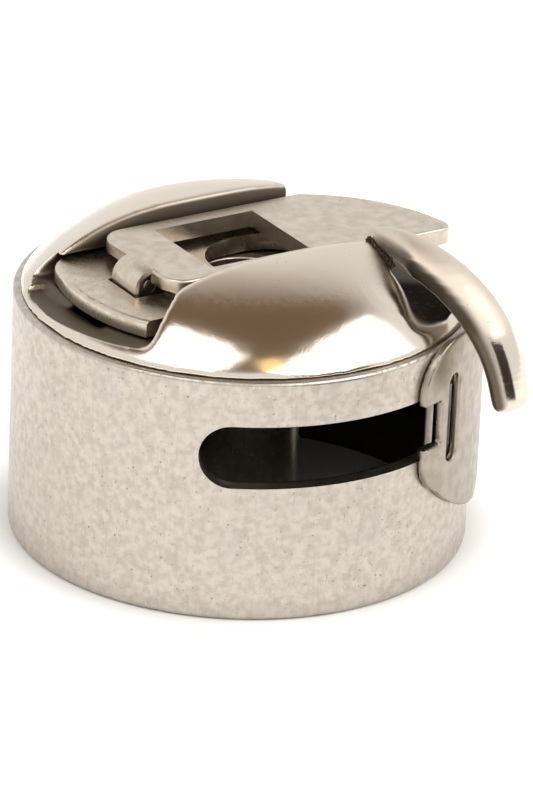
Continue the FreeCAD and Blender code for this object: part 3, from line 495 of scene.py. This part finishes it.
# %% Polished nickel
DOME_TOP = 16.17
DOME_FROM = 3.85
DOME_ARC = 9.496
CUT_BEGINS = 0.05
CUT_DULL = 0.25
POCKET_LOOK = (0.93, 0.985, 0.0, 1.0)
POCKET_HIGH = 14.8
POCKET_LOW = 14.2
FLANK_WAY = (-0.8746, -0.4848, 0)
FLANK_LOOK = (0.7, 0.95, 0.0, 1.0)
BUFFED = "#ded4c6"
BUFFED_ROUGHNESS = 0.13
BUFFED_GRAIN = 0.08
BUFFED_DEPTH = 0.0025
WAVE_GRAIN = 0.3
WAVE_HEIGHT = 0.4
BUFFED_PIT_GRAIN = 0.13
BUFFED_PITS = (0.28, 0.23, 0.0, 0.7)
DULL_SHADED_TONE = "#665c4f"
DULL_ROUGHNESS = 0.3


def facing(tree, way):
    """How squarely a face looks along the given direction, from -1 to 1."""
    normal = add(tree, "NewGeometry", out="Normal")
    return add(tree, "VectorMath", [normal, way], out="Value", operation="DOT_PRODUCT")


def below_dome(tree, place, height):
    """How dull the crown is, with painted shade: its cuts below the arc that the dome was turned to, and its
    pockets' floors.
    """
    section = add(tree, "CombineXYZ", [off_axis(tree, place), height])
    centre = (DOME_FROM * MM, (DOME_TOP - DOME_ARC) * MM, 0)
    reach = add(tree, "VectorMath", [section, centre], out="Value", operation="DISTANCE")
    depths = [reach, (DOME_ARC - CUT_BEGINS) * MM, (DOME_ARC - CUT_DULL) * MM, 0, 1]
    cut = add(tree, "MapRange", depths, **SMOOTH)
    level = add(tree, "MapRange", [facing(tree, (0, 0, 1)), *POCKET_LOOK], **SMOOTH)
    low = add(tree, "MapRange", [height, POCKET_HIGH * MM, POCKET_LOW * MM, 0, 1], **SMOOTH)
    floors = add(tree, "Math", [level, low], operation="MULTIPLY")
    return add(tree, "Math", [cut, floors], operation="MAXIMUM")


def near_flank(tree, _place, _height):
    """How dull the finger is, with painted shade: only the flank that looks along the crown's end."""
    return add(tree, "MapRange", [facing(tree, FLANK_WAY), *FLANK_LOOK], **SMOOTH)


def polished_nickel(name, matt_from, matt_to, matt_colour, matt_roughness, dull_and_shaded_at):
    """Mirror-bright below one height in mm, matt above the other, and dull with painted shade where the
    function says.
    """
    material, tree, shader, place = new_metal(name)
    height = add(tree, "SeparateXYZ", [place], out="Z")
    dull_and_shaded = dull_and_shaded_at(tree, place, height)
    cloud = add(tree, "TexNoise", {"Vector": place, "Scale": per_metre(WAVE_GRAIN), "Detail": 7.0})
    wave = add(tree, "Math", [cloud, WAVE_HEIGHT * MM, -WAVE_HEIGHT / 2 * MM], operation="MULTIPLY_ADD")
    waved = add(tree, "Math", [height, wave], operation="ADD")
    matt = add(tree, "MapRange", [waved, matt_from * MM, matt_to * MM, 0, 1], **SMOOTH)
    colour = add(tree, "Mix", {0: matt, 6: BUFFED, 7: matt_colour}, **COLOURS)
    pit = add(tree, "TexNoise", {"Vector": place, "Scale": per_metre(BUFFED_PIT_GRAIN), "Detail": 2.0})
    colour = layered(tree, colour, [(pit, BUFFED_PITS, "#75644f")])
    # Painted shade: the dull faces take a much darker colour than the buffed metal.
    colour = add(tree, "Mix", {0: dull_and_shaded, 6: colour, 7: DULL_SHADED_TONE}, **COLOURS)
    roughness = add(tree, "MapRange", [matt, 0, 1, BUFFED_ROUGHNESS, matt_roughness], **SMOOTH)
    roughness = add(tree, "Math", [dull_and_shaded, DULL_ROUGHNESS, roughness], operation="MULTIPLY_ADD")
    colour, roughness = painted_hollow_shade(tree, shader, place, dull_and_shaded, colour, roughness)
    grain = add(tree, "TexNoise", {"Vector": place, "Scale": per_metre(BUFFED_GRAIN), "Detail": 2.0})
    finish_metal(tree, shader, colour, roughness, grain, BUFFED_DEPTH)
    return material


FINISHES["crown"] = polished_nickel(
    "polished_nickel",
    matt_from=14.4,
    matt_to=16.0,
    matt_colour="#e4d9ca",
    matt_roughness=0.38,
    dull_and_shaded_at=below_dome,
)
FINISHES["position_finger"] = polished_nickel(
    "finger_nickel",
    matt_from=12.6,
    matt_to=14.0,
    matt_colour="#ddd2c3",
    matt_roughness=0.55,
    dull_and_shaded_at=near_flank,
)
print("polished nickel for the crown and the finger")

# %% [markdown]
# ### Tumbled and sprung steel
#
# The latch is stamped from sheet and tumbled until it is evenly matt. The leaf and the coil are spring
# steel, rolled or drawn, and the screws are turned. All are plain enough for one recipe, each with its own
# two tones, roughness and grain in millimetres.

# %% Tumbled nickel
TUMBLED_CLOUD = 0.6
TUMBLED_CLOUDS = (0.30, 0.70, 0.0, 1.0)
TUMBLED_PITS = (0.30, 0.24, 0.0, 0.6)
TUMBLED_SPREAD = 0.05
TUMBLED_RELIEF = (0.24, 0.40, 0.0, 1.0)
TUMBLED_DEPTH = 0.006
TUMBLED = {
    "latch_slide": ("slide_nickel", "#d3c8b8", "#c5b9a9", 0.30, 0.14),
    "latch_pin": ("pin_nickel", "#d3c8b8", "#c5b9a9", 0.30, 0.14),
    "latch_lever": ("lever_nickel", "#d7ccbd", "#cbbfaf", 0.36, 0.14),
    "latch_spring": ("coil_nickel", "#c4bbb0", "#b0a79c", 0.25, 0.08),
    "tension_spring": ("leaf_nickel", "#aba296", "#9e9589", 0.32, 0.16),
    "tension_screw": ("screw_nickel", "#c4bdb2", "#b1aaa0", 0.28, 0.10),
    "clamp_screw": ("clamp_nickel", "#c4bdb2", "#b1aaa0", 0.28, 0.10),
}


def tumbled_nickel(name, light, dark, roughness, size):
    """Even matt plating with a fine grain of the given size in mm."""
    material, tree, shader, place = new_metal(name)
    cloud = add(tree, "TexNoise", {"Vector": place, "Scale": per_metre(TUMBLED_CLOUD), "Detail": 8.0})
    grain = add(tree, "TexNoise", {"Vector": place, "Scale": per_metre(size), "Detail": 2.0})
    colour = layered(tree, dark, [(cloud, TUMBLED_CLOUDS, light), (grain, TUMBLED_PITS, "#75695a")])
    spread = [*TUMBLED_CLOUDS[:2], roughness + TUMBLED_SPREAD, roughness - TUMBLED_SPREAD]
    rough = add(tree, "MapRange", [cloud, *spread], **SMOOTH)
    relief = add(tree, "MapRange", [grain, *TUMBLED_RELIEF], **SMOOTH)
    finish_metal(tree, shader, colour, rough, relief, TUMBLED_DEPTH)
    return material


for node, recipe in TUMBLED.items():
    FINISHES[node] = tumbled_nickel(*recipe)
print("tumbled nickel for", ", ".join(TUMBLED))

# %% [markdown]
# ### Polishing compound
#
# The crust is wax and grit that dried: dull dark brown with paler crumbs. One noise gives the tone, the
# roughness and the relief, so that each pale crumb also stands up.

# %% Polishing compound
CRUMB_GRAIN = 0.12
CRUMBS = (0.42, 0.62, 0.0, 1.0)
CRUMB_ROUGHNESS = (0.0, 1.0, 0.55, 0.8)
CRUMB_DEPTH = 0.05


def crust_material():
    """Dried polishing compound: dull dark brown, with paler crumbs."""
    material, tree, shader, place = new_metal("polish_crust")
    shader.inputs["Metallic"].default_value = 0.0
    grain = add(tree, "TexNoise", {"Vector": place, "Scale": per_metre(CRUMB_GRAIN), "Detail": 4.0})
    crumbs = add(tree, "MapRange", [grain, *CRUMBS], **SMOOTH)
    colour = add(tree, "Mix", {0: crumbs, 6: "#2a1c0f", 7: "#7a6142"}, **COLOURS)
    roughness = add(tree, "MapRange", [crumbs, *CRUMB_ROUGHNESS], **SMOOTH)
    finish_metal(tree, shader, colour, roughness, crumbs, CRUMB_DEPTH)
    return material


for node, piece in pieces.items():
    piece.data.materials.clear()
    piece.data.materials.append(FINISHES[node])
crust.data.materials.append(crust_material())
print("finishes:", ", ".join(material.name for material in FINISHES.values()))

# %% [markdown]
# ## Floor
#
# The case stands on a pale sweep that burns out to white. A plain white floor would need so much light that
# its shadow is lost, so a share of its white is a glow that only the camera and the metal see. Under the
# open rim it has none of that share, so the inside of the case stays dark.

# %% Floor
FLOOR_HALF = 400
FLOOR_TONE = "#f4f3f1"
GLOW = 0.40
GLOW_FROM = 11.3
GLOW_FULL = 14.0


def make_floor():
    """A wide pale plane under the rim, white to the camera and to the metal."""
    bpy.ops.object.select_all(action="DESELECT")
    bpy.ops.mesh.primitive_plane_add(size=2 * FLOOR_HALF * MM, location=(0, 0, 0))
    floor = bpy.context.active_object
    floor.name = "floor"
    material = bpy.data.materials.new("pale_sweep")
    material.use_nodes = True
    tree = material.node_tree
    tree.nodes.clear()
    seen = add(tree, "LightPath", out="Is Camera Ray")
    for kind in ("Is Glossy Ray", "Is Transmission Ray"):
        seen = add(tree, "Math", [seen, add(tree, "LightPath", out=kind)], operation="MAXIMUM")
    away = off_axis(tree, add(tree, "TexCoord", out="Object"))
    outside = add(tree, "MapRange", [away, GLOW_FROM * MM, GLOW_FULL * MM, 0, GLOW], **SMOOTH)
    strength = add(tree, "Math", [seen, outside], operation="MULTIPLY")
    matte = add(tree, "BsdfDiffuse", {"Color": FLOOR_TONE})
    glow = add(tree, "Emission", {"Color": "#ffffff", "Strength": strength})
    both = add(tree, "AddShader", [matte, glow])
    add(tree, "OutputMaterial", {"Surface": both})
    floor.data.materials.append(material)
    return floor


print("staged:", make_floor().name)

# %% [markdown]
# ## Light
#
# Two soft boxes stand left and right above the camera. The shoulder of the dome mirrors both, with the brown
# ceiling between them, and that gives the two white highlights with a brown band between. A small warm lamp
# stands between the boxes and puts the yellow touch into that band. One big box would light the case as
# well, but its highlight would run through.

# %% Light
LIGHT_DISTANCE = 400
LIGHTS = {
    "left_box": (-42, 60, (230, 210), 2.4, "#ffffff"),
    "right_box": (66, 47, (440, 250), 2.4, "#ffffff"),
    "warm_lamp": (22, 59, (64, 80), 1.5, "#ffe09a"),
}


def make_light(name, turn, elevation, size, brightness, colour):
    """A soft box that looks at the case. The turn is from the camera, angles in degrees, lengths in mm."""
    data = bpy.data.lights.new(name, "AREA")
    data.shape = "RECTANGLE"
    data.size = size[0] * MM
    data.size_y = size[1] * MM
    data.energy = brightness * math.pi * data.size * data.size_y
    data.color = linear(colour)[:3]
    lamp = bpy.data.objects.new(name, data)
    outward = heading(CAMERA_AZIMUTH + turn, elevation)
    lamp.location = CASE_MIDDLE + outward * LIGHT_DISTANCE * MM
    lamp.rotation_euler = outward.to_track_quat("Z", "Y").to_euler()
    bpy.context.collection.objects.link(lamp)


for name, setting in LIGHTS.items():
    make_light(name, *setting)
    print(f"{name}: {setting[0]} degrees from the camera, {setting[1]} degrees up")

# %% [markdown]
# ## A dark card
#
# Polished metal in a white room has nothing dark to show. A photographer stands a black card beside the
# piece, just out of the picture, and the finger's flank mirrors it. The card is hidden from the camera, so
# that it doesn't stand in the way when the case is seen from its side.

# %% Dark card
CARD_TURN = 44
CARD_DISTANCE = 81
CARD_SIZE = (50, 40)
CARD_TONE = "#2b2119"
CARD_ROUGHNESS = 0.8


def make_card():
    """A dark card beside the case, out of the picture, for the polished finger to mirror."""
    away = heading(CAMERA_AZIMUTH + CARD_TURN, 0) * CARD_DISTANCE * MM
    bpy.ops.object.select_all(action="DESELECT")
    bpy.ops.mesh.primitive_plane_add(size=1, location=away + Vector((0, 0, CARD_SIZE[1] / 2 * MM)))
    card = bpy.context.active_object
    card.name = "dark_card"
    card.scale = (CARD_SIZE[0] * MM, CARD_SIZE[1] * MM, 1)
    card.rotation_euler = away.to_track_quat("Z", "Y").to_euler()
    material = bpy.data.materials.new("dark_card")
    material.use_nodes = True
    shader = material.node_tree.nodes["Principled BSDF"]
    shader.inputs["Base Color"].default_value = linear(CARD_TONE)
    shader.inputs["Roughness"].default_value = CARD_ROUGHNESS
    card.data.materials.append(material)
    card.visible_camera = False
    return card


print("staged:", make_card().name)

# %% [markdown]
# ## The room
#
# The camera sees plain white behind the case. The metal mirrors more: a room that is white to about 45
# degrees up, so that the matt tops, which mirror the far wall, are light, and a brown ceiling overhead. A
# picture of a studio could do this, but a ramp of two tones by height is enough.

# %% The room
ROOM = [(0.0, "#ffffff"), (0.70, "#ffffff"), (0.86, "#7d6853"), (1.0, "#7d6853")]


def make_world():
    """White behind the case, and for the metal a room with white walls and a brown ceiling."""
    world = bpy.data.worlds.new("studio")
    bpy.context.scene.world = world
    world.use_nodes = True
    tree = world.node_tree
    tree.nodes.clear()
    up = add(tree, "SeparateXYZ", [add(tree, "TexCoord", out="Generated")], out="Z")
    room = add(tree, "ValToRGB", [up])
    stops = room.node.color_ramp.elements
    while len(stops) < len(ROOM):
        stops.new(0.5)
    for stop, (position, colour) in zip(stops, ROOM):
        stop.position = position
        stop.color = linear(colour)
    camera_ray = add(tree, "LightPath", out="Is Camera Ray")
    seen = add(tree, "Mix", {0: camera_ray, 6: room, 7: "#ffffff"}, **COLOURS)
    back = add(tree, "Background", {"Strength": 1.0, "Color": seen})
    add(tree, "OutputWorld", {"Surface": back})
    return world


print("world:", make_world().name)
bpy.context.scene.view_settings.view_transform = "Standard"
